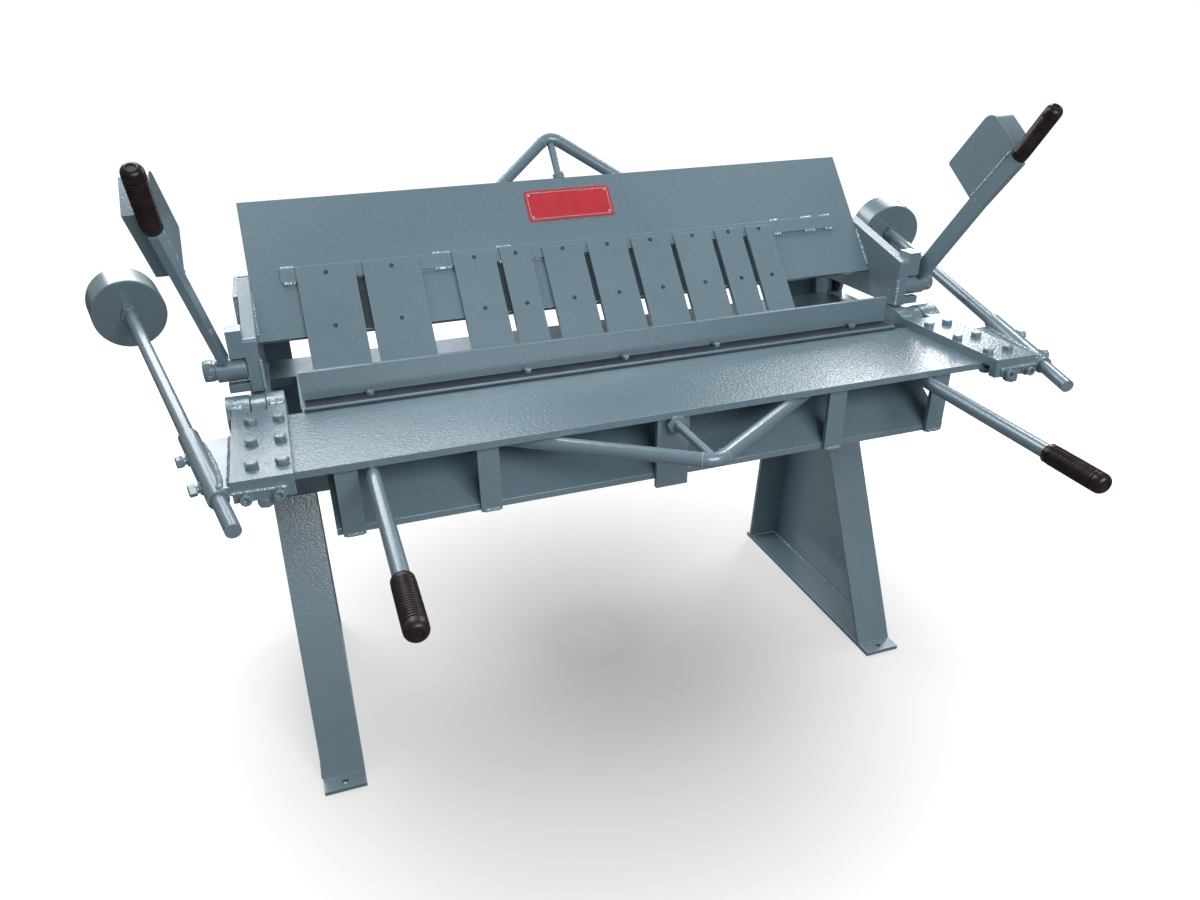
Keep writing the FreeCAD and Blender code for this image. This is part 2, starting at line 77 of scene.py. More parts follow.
def on_plate(x, up, out=0.0):
    """A point on the clamping plate: x along it, up from its lower edge, out from its front face."""
    return Vector((x, plate_foot.y, plate_foot.z)) + plate_up * up + plate_out * out


print("bend line", [round(v, 3) for v in bend_line], "plate foot", [round(v, 4) for v in plate_foot])

# %% [markdown]
# ## Camera
# The photographer stood left of the middle, a little above head height, and looked down at the leaf.
# A camera could be aimed with a constraint, but three turns (heading, tilt and roll) say the same thing
# in numbers that can be read. The small shift says that the picture was cropped off centre.

# %% Camera
eye = Vector((-0.6265, -1.8285, 1.5050))
heading = math.radians(17.967)
tilt = math.radians(-27.915)
roll = math.radians(-1.413)
ahead = Vector((math.sin(heading) * math.cos(tilt), math.cos(heading) * math.cos(tilt), math.sin(tilt)))
level_side = Vector((math.cos(heading), -math.sin(heading), 0))
side = level_side * math.cos(roll) + level_side.cross(ahead) * math.sin(roll)
camera_data = bpy.data.cameras.new("camera")
camera_data.sensor_width = 36.0
camera_data.lens = 26.396
camera_data.shift_x = 0.0188
camera_data.shift_y = 0.0264
camera = bpy.data.objects.new("camera", camera_data)
bpy.context.scene.collection.objects.link(camera)
camera.matrix_world = Matrix.Translation(eye) @ Matrix(
    (side, side.cross(ahead), -ahead)).transposed().to_4x4()
bpy.context.scene.camera = camera
bpy.context.scene.view_settings.view_transform = "Standard"
print("camera at", [round(v, 3) for v in camera.location], "lens", camera_data.lens)

# %% [markdown]
# ## Small helpers for node materials
# Every finish here is a node tree. Writing the links out by hand is long, so short helpers make a
# material, feed a node, add one, mix two colours, stretch a value, make a noise and shade a colour.
# Values that are the same all over a surface are typed into the shader itself.

# %% Material helpers
def feed(finish, node, values):
    """Type each value into the node's input, or link it there if it is another node's output."""
    for key, value in values.items():
        if isinstance(value, bpy.types.NodeSocket):
            finish.node_tree.links.new(value, node.inputs[key])
        else:
            node.inputs[key].default_value = value


def new_finish(name, colour, metallic, roughness):
    """A material with a Principled shader, ready for more nodes."""
    finish = bpy.data.materials.new(name)
    finish.use_nodes = True
    shader = finish.node_tree.nodes["Principled BSDF"]
    feed(finish, shader, {"Base Color": (*colour, 1), "Metallic": metallic, "Roughness": roughness})
    return finish, shader


def add_node(finish, kind, values=(), **settings):
    """A new node with its settings and inputs."""
    node = finish.node_tree.nodes.new(kind)
    for key, value in settings.items():
        setattr(node, key, value)
    feed(finish, node, dict(values))
    return node


def mix_colours(finish, mask, first, second):
    """first where the mask is 0, second where it is 1."""
    node = add_node(finish, "ShaderNodeMix", data_type="RGBA")
    for key, value in (("Factor", mask), ("A", first), ("B", second)):
        socket = [s for s in node.inputs if s.name == key and (key == "Factor" or s.type == "RGBA")][0]
        if isinstance(value, bpy.types.NodeSocket):
            finish.node_tree.links.new(value, socket)
        else:
            socket.default_value = value if key == "Factor" else (*value, 1)
    return [s for s in node.outputs if s.type == "RGBA"][0]


def spread(finish, value, low, high, to_low=0.0, to_high=1.0):
    """Stretch a value from one range to another, held at both ends."""
    return add_node(finish, "ShaderNodeMapRange", {
        "Value": value, "From Min": low, "From Max": high, "To Min": to_low, "To Max": to_high}).outputs[0]


def noise(finish, place, scale, detail):
    """A cloudy value from 0 to 1, with so many clouds to a metre."""
    return add_node(finish, "ShaderNodeTexNoise", {
        "Vector": place, "Scale": scale, "Detail": detail}).outputs["Fac"]


def shade(colour, factor, lift=0.0):
    """The colour, darker or paler."""
    return tuple(min(1.0, factor * c + lift) for c in colour)


print("material helpers ready")

# %% [markdown]
# ## Hammered paint
# The whole machine is sprayed in a blue-grey hammered enamel. Its skin is a field of shallow dimples two
# or three millimetres across, with aluminium in it, so it shines more than plain enamel, and every edge
# is painted paler, a painted highlight. A picture of paint could be wrapped on, but it would stretch, so
# the dimples come from a noise in real millimetres, and the painted edge highlight from comparing a rounded
# normal with the true one. Two wider noises, flow and drift, keep large faces from looking flat. The bending
# leaf has a paint of its own, with wider and deeper dimples, because its top sparkles.

# %% Hammered paint
paint_blue = (0.128, 0.197, 0.240)
edge_round = 0.0014
bevel_samples = 4
aluminium = 0.14


def hammered_paint(name, colour, dimple=0.0022, depth=0.0003, gloss=0.38, lacquer=0.85):
    """Enamel with dimples of a width and depth, in metres.

    gloss is the paint's roughness, and lacquer the share of clear coat on it."""
    finish, shader = new_finish(name, colour, aluminium, gloss)
    place = add_node(finish, "ShaderNodeTexCoord").outputs["Object"]
    skin = noise(finish, place, 0.5 / dimple, 2.0)
    flow = noise(finish, place, 2.2, 3.0)
    drift = noise(finish, place, 22.0, 5.0)
    soft = add_node(finish, "ShaderNodeBevel", {"Radius": edge_round}, samples=bevel_samples).outputs[0]
    true = add_node(finish, "ShaderNodeNewGeometry").outputs["Normal"]
    turn = add_node(finish, "ShaderNodeVectorMath", {0: soft, 1: true}, operation="DOT_PRODUCT")
    # The edge mask and the pale colour paint a highlight along every edge; the pale colour also tints some dimple
    # tops.
    edge = spread(finish, turn.outputs["Value"], 0.995, 0.82, 0.0, 0.85)
    pale_tone_and_edge_highlight = shade(colour, 2.0, 0.07)
    body = mix_colours(finish, spread(finish, flow, 0.36, 0.64), shade(colour, 0.94), shade(colour, 1.06))
    body = mix_colours(finish, spread(finish, drift, 0.35, 0.70, 0.0, 0.12), body, shade(colour, 0.86))
    body = mix_colours(finish, spread(finish, skin, 0.50, 0.72, 0.0, 0.10), body, pale_tone_and_edge_highlight)
    body = mix_colours(finish, edge, body, pale_tone_and_edge_highlight)
    sheen = spread(finish, drift, 0.30, 0.70, gloss - 0.03, gloss + 0.04)
    bump = add_node(finish, "ShaderNodeBump", {
        "Strength": 1.0, "Distance": depth, "Height": skin, "Normal": soft}).outputs[0]
    feed(finish, shader, {"Base Color": body, "Roughness": sheen, "Normal": bump, "Coat Normal": bump,
                          "Coat Weight": lacquer, "Coat Roughness": 0.13})
    return finish


paint = hammered_paint("hammered_paint", paint_blue)
leaf_paint = hammered_paint("leaf_paint", paint_blue, dimple=0.0030, depth=0.0011, gloss=0.32, lacquer=0.60)
print("paints:", paint.name, leaf_paint.name)

# %% [markdown]
# ## Steel and rubber
# Four finishes are left. The bed is ground flat, so fine lines run along it: a noise squeezed hard in
# one direction draws them. Pins, nuts and screws are plain bright steel with a faint cloudiness. The
# grips are dark brown-black rubber, dull, with a fine grain. The same grained skin in a bluish black is
# painted shade for narrow corners and gaps.

# %% Steel and rubber
lines_across = 700.0
lines_lengthwise = 9.0
ground_edge = 0.0008


def ground_steel(name, colour, lines_along, roughness):
    """Steel with fine scratches along X, Y or Z."""
    finish, shader = new_finish(name, colour, 0.75, roughness)
    place = add_node(finish, "ShaderNodeTexCoord").outputs["Object"]
    squeeze = [lines_across] * 3
    squeeze["XYZ".index(lines_along)] = lines_lengthwise
    lines = add_node(finish, "ShaderNodeVectorMath", {0: place, 1: squeeze}, operation="MULTIPLY")
    grain = noise(finish, lines.outputs[0], 1.0, 3.0)
    cloud = noise(finish, place, 9.0, 3.0)
    body = mix_colours(finish, spread(finish, cloud, 0.35, 0.65), shade(colour, 0.82), shade(colour, 1.1))
    body = mix_colours(finish, spread(finish, grain, 0.4, 0.62, 0.0, 0.25), body, shade(colour, 0.6))
    sheen = spread(finish, grain, 0.3, 0.7, roughness - 0.07, roughness + 0.1)
    soft = add_node(finish, "ShaderNodeBevel", {"Radius": ground_edge}, samples=bevel_samples).outputs[0]
    bump = add_node(finish, "ShaderNodeBump", {
        "Strength": 0.12, "Distance": 0.0003, "Height": grain, "Normal": soft}).outputs[0]
    feed(finish, shader, {"Base Color": body, "Roughness": sheen, "Normal": bump})
    return finish


def grained_rubber(name, colour, dullest=0.75):
    """A skin with a fine grain, paler and smoother where it is worn. dullest is its highest roughness."""
    finish, shader = new_finish(name, colour, 0.0, dullest)
    feed(finish, shader, {"Specular IOR Level": 0.34})
    place = add_node(finish, "ShaderNodeTexCoord").outputs["Object"]
    grain = noise(finish, place, 900.0, 3.0)
    worn = noise(finish, place, 28.0, 4.0)
    body = mix_colours(finish, spread(finish, worn, 0.4, 0.7), colour, shade(colour, 1.6, 0.004))
    sheen = spread(finish, worn, 0.3, 0.7, dullest - 0.2, dullest)
    bump = add_node(finish, "ShaderNodeBump", {
        "Strength": 0.25, "Distance": 0.0003, "Height": grain}).outputs[0]
    feed(finish, shader, {"Base Color": body, "Roughness": sheen, "Normal": bump})
    return finish


bed_steel = ground_steel("bed_steel", (0.105, 0.150, 0.182), "X", 0.32)
steel = ground_steel("bright_steel", (0.44, 0.50, 0.54), "Z", 0.28)
rubber = grained_rubber("grip_rubber", (0.012, 0.0070, 0.0062), 0.46)
# A bluish black grained skin, used as painted shade in narrow corners and gaps.
painted_shade = grained_rubber("painted_shade_finish", (0.017, 0.028, 0.037))
print("finishes:", [m.name for m in (bed_steel, steel, rubber, painted_shade)])

# %% [markdown]
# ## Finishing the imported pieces
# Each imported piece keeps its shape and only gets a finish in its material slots. The record says which
# slot every piece has, so one loop paints the machine.

# %% Paint the frame
finishes = {"paint": paint, "leaf_paint": leaf_paint, "bed_steel": bed_steel, "steel": steel, "grip": rubber}
for part in frame["record"]["subparts"]:
    node = nodes[part["node"]]
    for slot in node.material_slots:
        slot.material = finishes[part["material_slot"]]
    if not node.material_slots:
        node.data.materials.append(finishes[part["material_slot"]])
print("painted", len(nodes), "pieces")

# %% [markdown]
# ## Making and placing new pieces
# New pieces are meshes made point by point in bmesh. Most are turned shapes: an outline of radius and
# height spun about Z, then laid along the axis of the bolt or grip. Bars, beads and strips are rings of
# points joined by walls. The last helper makes a mesh a piece that rides on a body of the frame.

# %% Mesh helpers
def along(direction, centre):
    """The place whose Z axis runs in a direction from a centre."""
    return Matrix.Translation(centre) @ Vector(direction).to_track_quat("Z", "Y").to_matrix().to_4x4()


def turned(radius, angle, height=0.0):
    """The point at a distance from the Z axis, turned about it by an angle."""
    return Vector((radius * math.cos(angle), radius * math.sin(angle), height))


def spin(mesh, outline, place, sides, turn=0.0):
    """Spin (radius, height) points about Z. A radius of 0 at either end closes the shape."""
    rings = []
    for radius, height in outline:
        count = sides if radius > 0 else 1
        rings.append([mesh.verts.new(place @ turned(radius, turn + 2 * math.pi * k / sides, height))
                      for k in range(count)])
    for first, second in zip(rings, rings[1:]):
        for k in range(sides):
            corners = [first[k % len(first)], first[(k + 1) % len(first)],
                       second[(k + 1) % len(second)], second[k % len(second)]]
            mesh.faces.new(list(dict.fromkeys(corners)))


def join_rings(mesh, rings):
    """Walls between each ring of points and the next."""
    for first, second in zip(rings, rings[1:]):
        for k in range(len(first)):
            after = (k + 1) % len(first)
            mesh.faces.new((first[k], first[after], second[after], second[k]))


def closed_bar(mesh, rings):
    """Walls between the rings, and a face over the first and the last."""
    join_rings(mesh, rings)
    mesh.faces.new(rings[0])
    mesh.faces.new(rings[-1])


def add_piece(name, mesh, finish, body, smooth_angle=40.0):
    """Turn a bmesh into a piece that rides on a body."""
    bmesh.ops.recalc_face_normals(mesh, faces=mesh.faces)
    data = bpy.data.meshes.new(name)
    mesh.to_mesh(data)
    mesh.free()
    data.materials.append(finish)
    piece = bpy.data.objects.new(name, data)
    bpy.context.scene.collection.objects.link(piece)
    data.polygons.foreach_set("use_smooth", [True] * len(data.polygons))
    data.set_sharp_from_angle(angle=math.radians(smooth_angle))
    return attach(piece, body)


both_sides = ((1, "right"), (-1, "left"))
print("mesh helpers ready")

# %% [markdown]
# ## Finding an axis
# Grips, weights and rods lie at odd angles. Rather than typing their directions again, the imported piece
# is asked: a long round bar only has points in its two end faces, so the middles of the two groups of
# points are the ends of its axis. A weight is too squat for that, but it sits on its rod and borrows the
# rod's direction; its own points only say where along the rod it lies.

# %% Axis of a packed bar
def bar_axis(name):
    """The middles of both end faces of a packed round bar."""
    points = [vertex.co.copy() for vertex in nodes[name].data.vertices]
    centre = sum(points, Vector()) / len(points)
    far = max(points, key=lambda point: (point - centre).length)
    near = [point for point in points if (point - centre).dot(far - centre) < 0]
    beyond = [point for point in points if (point - centre).dot(far - centre) > 0]
    return sum(near, Vector()) / len(near), sum(beyond, Vector()) / len(beyond)


weight_axis = {}
for sign, hand in both_sides:
    ends = sorted(bar_axis("weight_rod_" + hand), key=lambda end: end.y)
    way = (ends[1] - ends[0]).normalized()
    points = [vertex.co for vertex in nodes["weight_" + hand].data.vertices]
    reach = [(point - ends[0]).dot(way) for point in points]
    weight_axis[hand] = (ends[0] + way * min(reach), way, max(reach) - min(reach))
    print("weight", hand, "starts at", [round(v, 4) for v in weight_axis[hand][0]],
          "and is", round(weight_axis[hand][2], 4), "long")

# %% [markdown]
# ## Grips
# The four handles end in ribbed rubber grips: a plain collar, a run of fine rings, and a rounded tip. A
# ring pattern could be faked with bump, but it shows in the outline, so each ring is a real step in the
# spun outline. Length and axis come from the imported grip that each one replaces.

# %% Grips
ring_count = 17
ring_rise = 0.0016
collar_length = 0.010
tip_length = 0.020
tip_round = 0.012
grip_sides = 40
grip_radius = {"leaf_grip": 0.018, "clamp_grip": 0.017}


def grip_outline(radius, length):
    """Radius and height from the open end to the tip."""
    pitch = (length - tip_length - collar_length) / ring_count
    core = radius - ring_rise
    collar = radius - 0.0004
    tip = length - tip_length
    points = [(0, 0.0005), (core - 0.001, 0.0005), (collar, 0.002), (collar, collar_length)]
    for k in range(ring_count):
        low = collar_length + k * pitch
        points += [(core, low + 0.10 * pitch), (core, low + 0.32 * pitch), (radius, low + 0.48 * pitch),
                   (radius, low + 0.88 * pitch)]
    points += [(core, tip), (core, tip + 0.002), (radius, tip + 0.003)]
    for k in range(1, 6):
        turn = math.radians(15 * k)
        points.append((radius * (0.45 + 0.55 * math.cos(turn)),
                       length - tip_round + tip_round * math.sin(turn)))
    return points + [(radius * 0.45, length - 0.0004), (radius * 0.40, length - 0.002), (0, length - 0.002)]


for sign, hand in both_sides:
    for kind, body in (("leaf_grip", "bending_leaf"), ("clamp_grip", "clamp_handle_" + hand)):
        name = kind + "_" + hand
        start, end = bar_axis(name)
        if end.y > start.y:
            start, end = end, start
        outline = grip_outline(grip_radius[kind], (end - start).length)
        mesh = bmesh.new()
        spin(mesh, outline, along(end - start, start), grip_sides)
        grip = add_piece("ribbed_" + name, mesh, rubber, body, smooth_angle=60)
        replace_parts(grip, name)
        print(grip.name, "length", round((end - start).length, 4))

# %% [markdown]
# ## Counterweights
# Each weight is a turned steel disc with a broken edge and a bored hole for its rod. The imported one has
# the right size but few flats around; spinning the same outline with more steps gives a clean rim.

# %% Counterweights
weight_radius = 0.075
rod_radius = 0.0126
broken_edge = 0.002
weight_sides = 96
for sign, hand in both_sides:
    start, way, length = weight_axis[hand]
    mesh = bmesh.new()
    spin(mesh, [(rod_radius, 0), (weight_radius - broken_edge, 0), (weight_radius, broken_edge),
                (weight_radius, length - broken_edge), (weight_radius - broken_edge, length),
                (rod_radius, length), (rod_radius, 0)], along(way, start), weight_sides)
    bmesh.ops.remove_doubles(mesh, verts=mesh.verts, dist=0.00001)
    disc = add_piece("turned_weight_" + hand, mesh, paint, "bending_leaf")
    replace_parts(disc, "weight_" + hand)
print("weights are", round(length, 4), "m long")

# %% [markdown]
# ## Truss rods
# A long leaf sags in the middle, so a bent rod runs from end to end and a screw at the bend pulls it
# tight, like the string of a bow. There is one under the bending leaf and one behind the clamping plate.
# A curve with a bevel would do; rings of points set square to the path are just as short and give an
# ordinary mesh at once.

# %% Truss rods
truss_radius = 0.013
truss_bend = 0.034


def bent_path(left, corner, right, steps=10):
    """Points and directions along two straight runs with one round bend."""
    into = (corner - left).normalized()
    away = (right - corner).normalized()
    turn = into.angle(away)
    reach = truss_bend * math.tan(turn / 2)
    centre = corner + (away - into).normalized() * (truss_bend / math.cos(turn / 2))
    first = corner - into * reach
    axis = into.cross(away).normalized()
    path = [(left, into)]
    for k in range(steps + 1):
        spun = Matrix.Rotation(turn * k / steps, 3, axis)
        path.append((centre + spun @ (first - centre), spun @ into))
    return path + [(right, away)], axis


def round_bar(mesh, path, axis, radius, sides=28):
    """A bar through points with directions, closed at both ends."""
    turns = [2 * math.pi * k / sides for k in range(sides)]
    rings = []
    for point, way in path:
        across = way.cross(axis)
        rings.append([mesh.verts.new(point + (axis * math.cos(turn) + across * math.sin(turn)) * radius)
                      for turn in turns])
    closed_bar(mesh, rings)


leaf_truss_z = leaf_low.z - truss_radius
leaf_truss = [Vector((x, y, leaf_truss_z)) for x, y in ((-0.430, -0.354), (0, -0.655), (0.430, -0.354))]
plate_truss_out = -(plate_thick + truss_radius)
plate_truss = [on_plate(x, height, plate_truss_out)
               for x, height in ((-0.361, 0.12915), (0, 0.436), (0.361, 0.12915))]
truss_paths = {}
for name, corners, body in (("leaf_truss_rod", leaf_truss, "bending_leaf"),
                            ("top_truss_rod", plate_truss, "clamping_leaf")):
    path, axis = bent_path(*corners)
    truss_paths[name] = path
    mesh = bmesh.new()
    round_bar(mesh, path, axis, truss_radius)
    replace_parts(add_piece("round_" + name, mesh, paint, body), name)
print("truss rods are", truss_radius * 2, "m thick")

# %% [markdown]
# ## Hexagon bolts
# The leaf's end plates are held by six hexagon bolts each, painted over with the plate. A head is a
# hexagon whose corners are turned off by a cone, on a thin round washer face. One helper spins both, as
# rings of six and of twenty-four points, and it is repeated at every place. A second helper makes the
# round heads with a hexagon socket that come later. Seeded random numbers turn each head a little.

# %% Bolt heads
draw = random.Random(5)
up = Vector((0, 0, 1))
down = -up
round_steps = 24


def hex_head(mesh, centre, direction, across, height, washer=True):
    """A hexagon head on a surface, corners chamfered, a washer face under it, turned as it happened."""
    place = along(direction, centre)
    corner = across / math.sqrt(3)
    flat = across / 2
    if washer:
        spin(mesh, [(0, -0.0005), (flat * 1.02, -0.0005), (flat * 1.02, 0.0009), (0, 0.0012)],
             place, round_steps)
    spin(mesh, [(0, 0.0010), (corner * 0.97, 0.0010), (corner, 0.0018), (corner, height - 0.0016),
                (flat * 0.97, height - 0.0002), (0, height)], place, sides=6, turn=draw.uniform(0, 1.0))


def socket_screw(mesh, centre, direction, radius, height, depth):
    """A round head with a hexagon socket: the face between the round rim and the socket is bridged."""
    place = along(direction, centre)
    edge = 0.0006
    socket = radius * 0.55
    turn = draw.uniform(0, 1.0)
    rings = []
    for size, level, sides in ((radius, 0, round_steps), (radius, height - edge, round_steps),
                               (radius - edge, height, round_steps), (socket, height, 6),
                               (socket, height - depth, 6)):
        rings.append([mesh.verts.new(place @ turned(size, turn + 2 * math.pi * k / sides, level))
                      for k in range(sides)])
    join_rings(mesh, rings[:3])
    join_rings(mesh, rings[3:])
    for k in range(round_steps):
        corner = (k * 6 + round_steps // 2) // round_steps % 6
        following = ((k + 1) * 6 + round_steps // 2) // round_steps % 6
        face = [rings[2][k], rings[2][(k + 1) % round_steps], rings[3][following], rings[3][corner]]
        mesh.faces.new(list(dict.fromkeys(face)))
    mesh.faces.new(rings[0])
    mesh.faces.new(rings[4])


bolt_rows = (-0.307, -0.398, -0.489)
bolt_columns = (0.684, 0.731)
bolt_across = 0.0195
bolt_height = 0.0100
end_plate = 0.018
end_top = leaf_high.z + end_plate
for sign, hand in both_sides:
    mesh = bmesh.new()
    for x in bolt_columns:
        for y in bolt_rows:
            hex_head(mesh, Vector((sign * x, y, end_top)), up, bolt_across, bolt_height)
            hex_head(mesh, Vector((sign * x, y, leaf_low.z)), down, bolt_across, bolt_height)
    add_piece("end_bolts_" + hand, mesh, leaf_paint, "bending_leaf")
print("bolts on top at", round(end_top, 4))

# %% [markdown]
# ## Bolts of the bending angle
# Five smaller bolts hold the angle along the leaf's edge. They sit on its lying leg, close to the
# standing one. They could be spaced by a rule, but on the machine they stand unevenly, so their places
# are listed, and the same helper makes the heads.

# %% Bending angle bolts
angle_low, angle_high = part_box("leaf_angle")
angle_plate = 0.008
angle_bolts = (-0.515, -0.204, 0.005, 0.212, 0.545)
angle_bolt_from_bend = 0.023
angle_bolt_across = 0.0145
angle_bolt_height = 0.0085
shelf_top = angle_low.z + angle_plate
mesh = bmesh.new()
for x in angle_bolts:
    hex_head(mesh, Vector((x, bend_line.y - angle_bolt_from_bend, shelf_top)), up,
             angle_bolt_across, angle_bolt_height)
add_piece("angle_bolts", mesh, leaf_paint, "bending_leaf")
print(len(angle_bolts), "angle bolts")

# %% [markdown]
# ## Dark corners
# Painted shade lies in the corner along the foot of the angle and on the angle's narrow shelf, where
# the bolts stand: dark strips put where shade falls, and both read as dark lines. A line could be painted
# into the finish by its place, but then it would also cross the bolts, so thin strips are made instead: a
# slim fillet for the corner, and a low ribbon for the shelf. Each is its outline, in Y and Z, repeated at
# both ends.

# %% Dark corners
shade_film = 0.0002
corner_leg = 0.0042
front_edge = angle_low.y
shelf_deep = angle_high.y - angle_plate - front_edge
corner_outline = ((0, 0), (-corner_leg, 0), (-corner_leg * 0.35, corner_leg * 0.35), (0, corner_leg))
shelf_outline = ((0.0035, -shade_film), (0.0045, 2 * shade_film), (shelf_deep - 0.0005, 2 * shade_film),
                 (shelf_deep - 0.0005, -shade_film))
mesh = bmesh.new()
for outline, level, short in ((corner_outline, leaf_high.z + shade_film, 0.002),
                              (shelf_outline, shelf_top, 0.004)):
    closed_bar(mesh, [[mesh.verts.new((x, front_edge + y, level + z)) for y, z in outline]
                      for x in (angle_low.x + short, angle_high.x - short)])
# The corner fillet and the shelf ribbon are painted shade.
add_piece("painted_shade_corner", mesh, painted_shade, "bending_leaf")
print("shelf is", round(shelf_deep * 1000), "mm deep")

# %% [markdown]
# ## Dark channels
# The channels between neighbouring fingers get the same painted shade. Their sides come from the fingers'
# own boxes, and wide gaps are left open. Each ribbon is dished: it climbs a little where it meets a finger.

# %% Dark channels
channel_widest = 0.020
channel_foot = 0.003
channel_head = 0.117
channel_outline = ((0.01, -0.0002), (0.01, 0.0012), (0.3, 0.0005), (0.7, 0.0005), (0.99, 0.0012),
                   (0.99, -0.0002))
finger_names = [name for name in nodes if name.startswith("finger_")]
finger_sides = sorted((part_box(name)[0].x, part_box(name)[1].x) for name in finger_names)
gaps = [(finger[1], following[0]) for finger, following in zip(finger_sides, finger_sides[1:])]
channels = [(left, right) for left, right in gaps if right - left <= channel_widest]
mesh = bmesh.new()
for left, right in channels:
    closed_bar(mesh, [[mesh.verts.new(on_plate(left + (right - left) * share, height, out))
                       for share, out in channel_outline] for height in (channel_foot, channel_head)])
# The ribbons between the fingers are painted shade.
add_piece("painted_shade_channels", mesh, painted_shade, "clamping_leaf")
print(len(channels), "channels between", len(finger_sides), "fingers")

# %% [markdown]
# ## Screws that set the leaf and the weights
# At each end two socket screws come through the lip in front and press on the leaf, so that it can be
# set level, with a locking nut below. On the outside of each weight's tube two hexagon screws hold the
# rod where the operator wants it. They point square to the tube, so their direction is worked out from
# the tube's own.

# %% Setting screws
forward = Vector((0, -1, 0))
lip_screw_columns = (0.695, 0.745)
lip_screw_rise = 0.003
lip_screw_size = (0.0092, 0.014, 0.007)
lip_ring = [(0, -0.001), (0.0120, -0.001), (0.0120, 0.0026), (0, 0.0026)]
lip_nut_column = 0.718
lip_nut_size = (0.023, 0.015)
arm_screws = (0.047, 0.140)
arm_screw_size = (0.0175, 0.0130)
arm_screw_boss = [(0, 0), (0.0115, 0), (0.0105, 0.0024), (0.0070, 0.0026), (0.0070, 0.0080), (0, 0.0080)]
arm_tube_radius = 0.017
weight_start = 0.790
arm_lines = {}
for sign, hand in both_sides:
    lip_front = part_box("leaf_end_" + hand)[0].y
    mesh = bmesh.new()
    for x in lip_screw_columns:
        spot = Vector((sign * x, lip_front, leaf_low.z + lip_screw_rise))
        spin(mesh, lip_ring, along(forward, spot), round_steps)
        socket_screw(mesh, spot + forward * 0.002, forward, *lip_screw_size)
    under_lip = Vector((sign * lip_nut_column, lip_front + 0.009, leaf_low.z - 0.006))
    hex_head(mesh, under_lip, down, *lip_nut_size)
    add_piece("lip_screws_" + hand, mesh, paint, "bending_leaf")
    front, way = weight_axis[hand][:2]
    arm_lines[hand] = (front - way * weight_start, way)
    outward = (Vector((sign, 0, 0)) - way * way.x * sign).normalized()
    mesh = bmesh.new()
    for distance in arm_screws:
        foot = arm_lines[hand][0] + way * distance + outward * (arm_tube_radius - 0.001)
        spin(mesh, arm_screw_boss, along(outward, foot), round_steps)
        hex_head(mesh, foot + outward * 0.006, outward, *arm_screw_size, washer=False)
    add_piece("arm_screws_" + hand, mesh, paint, "bending_leaf")
    print(hand, "arm starts at", [round(v, 4) for v in arm_lines[hand][0]])

# %% [markdown]
# ## The leaf's tightening screw
# A threaded stem with two nuts pushes on the middle of the truss rod. A true thread is a helix, but at
# arm's length nobody can tell it from a stack of rings, which is far lighter. A round washer lies
# between the strut and its front nut.

# %% Tightening screw
thread_pitch = 0.0022
thread_depth = 0.0011
stem_radius = 0.0080
strut_plate = 0.010
front_nut_size = (0.034, 0.0160)
back_nut_size = (0.024, 0.0125)
washer_outline = [(0, 0), (0.0225, 0), (0.0230, 0.0006), (0.0230, 0.0020), (0.0220, 0.0026), (0, 0.0026)]
web_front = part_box("leaf_web")[0].y
stem_low, stem_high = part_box("leaf_truss_screw")
stem_length = stem_high.y - stem_low.y
outline = [(0, 0)]
for k in range(int(stem_length / thread_pitch)):
    outline += [(stem_radius - thread_depth, k * thread_pitch), (stem_radius, (k + 0.5) * thread_pitch)]
outline += [(stem_radius - 0.001, stem_length), (0, stem_length)]
mesh = bmesh.new()
spin(mesh, outline, along(forward, (0, stem_high.y, leaf_truss_z)), sides=28)
hex_head(mesh, Vector((0, web_front - 0.002, leaf_truss_z)), forward, *front_nut_size)
hex_head(mesh, Vector((0, web_front + strut_plate, leaf_truss_z)), (0, 1, 0), *back_nut_size)
screw = add_piece("threaded_truss_screw", mesh, paint, "bending_leaf")
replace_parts(screw, "leaf_truss_screw")
mesh = bmesh.new()
spin(mesh, washer_outline, along(forward, (0, web_front, leaf_truss_z)), sides=36)
add_piece("truss_washer", mesh, leaf_paint, "bending_leaf")
print("stem", round(stem_length, 4), "m long, at z", round(leaf_truss_z, 4))

# %% [markdown]
# ## Finger screws
# Each finger is held to its rail by one small socket screw near its top and another near the bend, in
# the middle of the finger. They are black steel, and show as dark dots. A dot could be painted, but a real
# head with a socket catches the light on its rim. Every finger's middle comes from its own box.

# %% Finger screws
black_steel = ground_steel("black_steel", (0.035, 0.042, 0.048), "Z", 0.35)
finger_plate = 0.012
finger_screw_heights = (0.130, 0.012)
finger_screw_size = (0.0042, 0.0020, 0.0017)
sunk = 0.0006
mesh = bmesh.new()
for name in finger_names:
    low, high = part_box(name)
    for height in finger_screw_heights:
        spot = on_plate((low.x + high.x) / 2, height, finger_plate - sunk)
        socket_screw(mesh, spot, plate_out, *finger_screw_size)
add_piece("finger_screws", mesh, black_steel, "clamping_leaf")
print(len(finger_names), "fingers,", len(finger_screw_heights) * len(finger_names), "screws")

# %% [markdown]
# ## Collars on the clamp shafts
# A collar keeps each clamp handle on its shaft: a ring with broken edges, a dark line where it meets the
# hub, and two pinching screws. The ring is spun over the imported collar, which stays inside it.

